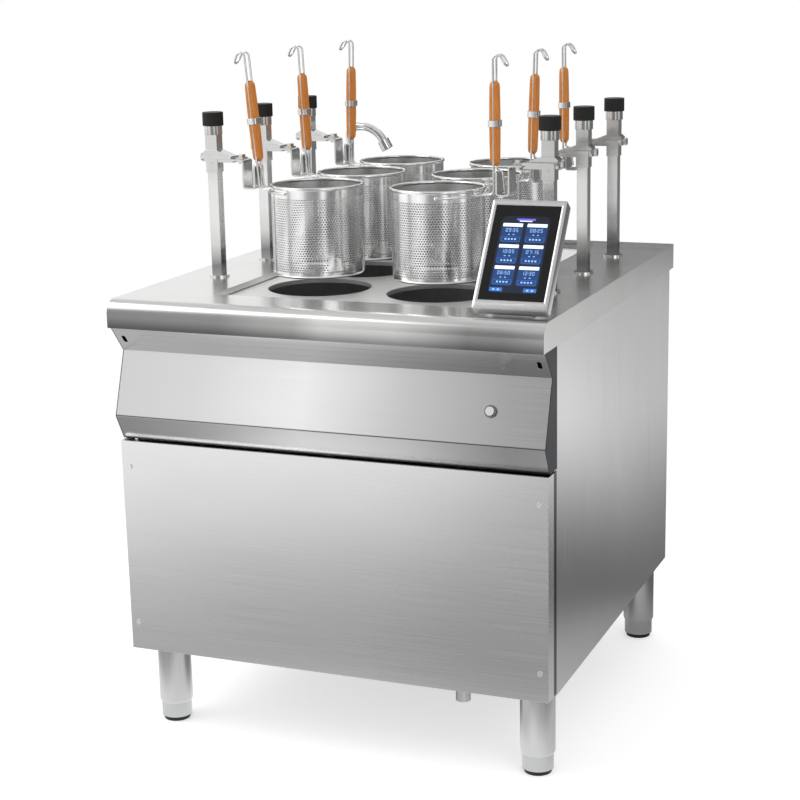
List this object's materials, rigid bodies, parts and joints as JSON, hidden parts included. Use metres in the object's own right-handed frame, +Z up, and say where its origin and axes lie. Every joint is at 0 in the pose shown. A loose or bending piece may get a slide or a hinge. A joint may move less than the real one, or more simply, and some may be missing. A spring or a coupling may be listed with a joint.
{
  "type": "pasta cooker",
  "caption": "Free-standing commercial pasta cooker: steel casing on legs, sunk tank under a holed cover, baskets with wooden grips hung on powered lifts, tilted touch screen and swivel tap.",
  "frame": {"origin": "bottom centre, on the floor under the middle of the worktop", "axes": "+X is the machine's right as one faces it, +Y its rear, +Z up"},
  "size_m": [0.8, 0.88, 1.2324],
  "materials": {
    "worktop_steel": "satin stainless sheet",
    "casing_steel": "brushed stainless sheet",
    "cover_steel": "bead-blasted stainless plate",
    "inner_steel": "plain stainless or galvanised steel",
    "polished_steel": "polished stainless",
    "wire_steel": "electropolished stainless wire and sheet",
    "end_grey": "dark grey painted plate",
    "box_grey": "grey painted box",
    "screen_metal": "satin metal housing",
    "screen_glass": "black touch glass",
    "button_metal": "turned metal",
    "knob_black": "matt black plastic",
    "foot_steel": "turned steel with a black base",
    "lever_red": "red dipped lever",
    "grip_wood": "oiled wood"
  },
  "bodies": {
    "root": {"side_panel_left": "casing_steel", "side_panel_right": "casing_steel", "back_panel": "casing_steel", "base_panel": "inner_steel", "front_panel": "casing_steel", "panel_screws": "polished_steel", "fascia": "casing_steel", "fascia_ends": "end_grey", "button_ring": "button_metal", "worktop": "worktop_steel", "cover_plate": "cover_steel", "tank": "inner_steel", "heating_elements": "inner_steel", "drain_pipe": "inner_steel", "frame": "inner_steel", "control_box": "box_grey", "lift_drives": "inner_steel", "post_flanges": "polished_steel", "leg_tubes": "polished_steel", "screen_stand": "screen_metal", "screen_housing": "screen_metal", "screen_glass": "screen_glass", "tap_base": "polished_steel"},
    "power_button": {"power_button": "button_metal"},
    "valve_handle": {"valve_handle": "lever_red"},
    "tap_spout": {"tap_spout": "polished_steel"},
    "foot_front_left": {"foot_front_left": "foot_steel"},
    "foot_front_right": {"foot_front_right": "foot_steel"},
    "foot_rear_left": {"foot_rear_left": "foot_steel"},
    "foot_rear_right": {"foot_rear_right": "foot_steel"},
    "lift_front_left": {"post_front_left": "polished_steel", "arm_front_left": "casing_steel"},
    "knob_front_left": {"knob_front_left": "knob_black"},
    "basket_front_left": {"basket_front_left": "wire_steel", "grip_front_left": "grip_wood"},
    "lift_middle_left": {"post_middle_left": "polished_steel", "arm_middle_left": "casing_steel"},
    "knob_middle_left": {"knob_middle_left": "knob_black"},
    "basket_middle_left": {"basket_middle_left": "wire_steel", "grip_middle_left": "grip_wood"},
    "lift_rear_left": {"post_rear_left": "polished_steel", "arm_rear_left": "casing_steel"},
    "knob_rear_left": {"knob_rear_left": "knob_black"},
    "basket_rear_left": {"basket_rear_left": "wire_steel", "grip_rear_left": "grip_wood"},
    "lift_front_right": {"post_front_right": "polished_steel", "arm_front_right": "casing_steel"},
    "knob_front_right": {"knob_front_right": "knob_black"},
    "basket_front_right": {"basket_front_right": "wire_steel", "grip_front_right": "grip_wood"},
    "lift_middle_right": {"post_middle_right": "polished_steel", "arm_middle_right": "casing_steel"},
    "knob_middle_right": {"knob_middle_right": "knob_black"},
    "basket_middle_right": {"basket_middle_right": "wire_steel", "grip_middle_right": "grip_wood"},
    "lift_rear_right": {"post_rear_right": "polished_steel", "arm_rear_right": "casing_steel"},
    "knob_rear_right": {"knob_rear_right": "knob_black"},
    "basket_rear_right": {"basket_rear_right": "wire_steel", "grip_rear_right": "grip_wood"}
  },
  "joints": [
    {"name": "power_button_press", "type": "slide", "parent": "root", "child": "power_button", "axis": [0, 0.9448, -0.3275], "range_m": [0, 0.0025], "stiffness_N_per_m": 400},
    {"name": "drain_valve_turn", "type": "hinge", "parent": "root", "child": "valve_handle", "pos_m": [0.19, -0.26, 0.235], "axis": [0, 1, 0], "range_deg": [0, 90]},
    {"name": "tap_spout_swivel", "type": "hinge", "parent": "root", "child": "tap_spout", "pos_m": [-0.282, 0.376, 0.9], "axis": [0, 0, 1], "range_deg": [-60, 45]},
    {"name": "foot_front_left_turn", "type": "hinge", "parent": "root", "child": "foot_front_left", "pos_m": [-0.357, -0.341, 0.02], "axis": [0, 0, 1], "continuous": true},
    {"name": "foot_front_right_turn", "type": "hinge", "parent": "root", "child": "foot_front_right", "pos_m": [0.357, -0.341, 0.02], "axis": [0, 0, 1], "continuous": true},
    {"name": "foot_rear_left_turn", "type": "hinge", "parent": "root", "child": "foot_rear_left", "pos_m": [-0.357, 0.3555, 0.02], "axis": [0, 0, 1], "continuous": true},
    {"name": "foot_rear_right_turn", "type": "hinge", "parent": "root", "child": "foot_rear_right", "pos_m": [0.357, 0.3555, 0.02], "axis": [0, 0, 1], "continuous": true},
    {"name": "lift_front_left", "type": "slide", "parent": "root", "child": "lift_front_left", "axis": [0, 0, 1], "range_m": [-0.15, 0]},
    {"name": "lift_middle_left", "type": "slide", "parent": "root", "child": "lift_middle_left", "axis": [0, 0, 1], "range_m": [-0.15, 0]},
    {"name": "lift_rear_left", "type": "slide", "parent": "root", "child": "lift_rear_left", "axis": [0, 0, 1], "range_m": [-0.15, 0]},
    {"name": "lift_front_right", "type": "slide", "parent": "root", "child": "lift_front_right", "axis": [0, 0, 1], "range_m": [-0.15, 0]},
    {"name": "lift_middle_right", "type": "slide", "parent": "root", "child": "lift_middle_right", "axis": [0, 0, 1], "range_m": [-0.15, 0]},
    {"name": "lift_rear_right", "type": "slide", "parent": "root", "child": "lift_rear_right", "axis": [0, 0, 1], "range_m": [-0.15, 0]},
    {"name": "knob_front_left_turn", "type": "hinge", "parent": "lift_front_left", "child": "knob_front_left", "pos_m": [-0.323, -0.157, 1.11], "axis": [0, 0, 1], "continuous": true},
    {"name": "knob_middle_left_turn", "type": "hinge", "parent": "lift_middle_left", "child": "knob_middle_left", "pos_m": [-0.323, 0.051, 1.11], "axis": [0, 0, 1], "continuous": true},
    {"name": "knob_rear_left_turn", "type": "hinge", "parent": "lift_rear_left", "child": "knob_rear_left", "pos_m": [-0.323, 0.259, 1.11], "axis": [0, 0, 1], "continuous": true},
    {"name": "knob_front_right_turn", "type": "hinge", "parent": "lift_front_right", "child": "knob_front_right", "pos_m": [0.323, -0.157, 1.11], "axis": [0, 0, 1], "continuous": true},
    {"name": "knob_middle_right_turn", "type": "hinge", "parent": "lift_middle_right", "child": "knob_middle_right", "pos_m": [0.323, 0.051, 1.11], "axis": [0, 0, 1], "continuous": true},
    {"name": "knob_rear_right_turn", "type": "hinge", "parent": "lift_rear_right", "child": "knob_rear_right", "pos_m": [0.323, 0.259, 1.11], "axis": [0, 0, 1], "continuous": true},
    {"name": "basket_front_left_lift_off", "type": "slide", "parent": "lift_front_left", "child": "basket_front_left", "axis": [0, 0, 1], "range_m": [0, 0.25]},
    {"name": "basket_middle_left_lift_off", "type": "slide", "parent": "lift_middle_left", "child": "basket_middle_left", "axis": [0, 0, 1], "range_m": [0, 0.25]},
    {"name": "basket_rear_left_lift_off", "type": "slide", "parent": "lift_rear_left", "child": "basket_rear_left", "axis": [0, 0, 1], "range_m": [0, 0.25]},
    {"name": "basket_front_right_lift_off", "type": "slide", "parent": "lift_front_right", "child": "basket_front_right", "axis": [0, 0, 1], "range_m": [0, 0.25]},
    {"name": "basket_middle_right_lift_off", "type": "slide", "parent": "lift_middle_right", "child": "basket_middle_right", "axis": [0, 0, 1], "range_m": [0, 0.25]},
    {"name": "basket_rear_right_lift_off", "type": "slide", "parent": "lift_rear_right", "child": "basket_rear_right", "axis": [0, 0, 1], "range_m": [0, 0.25]}
  ]
}
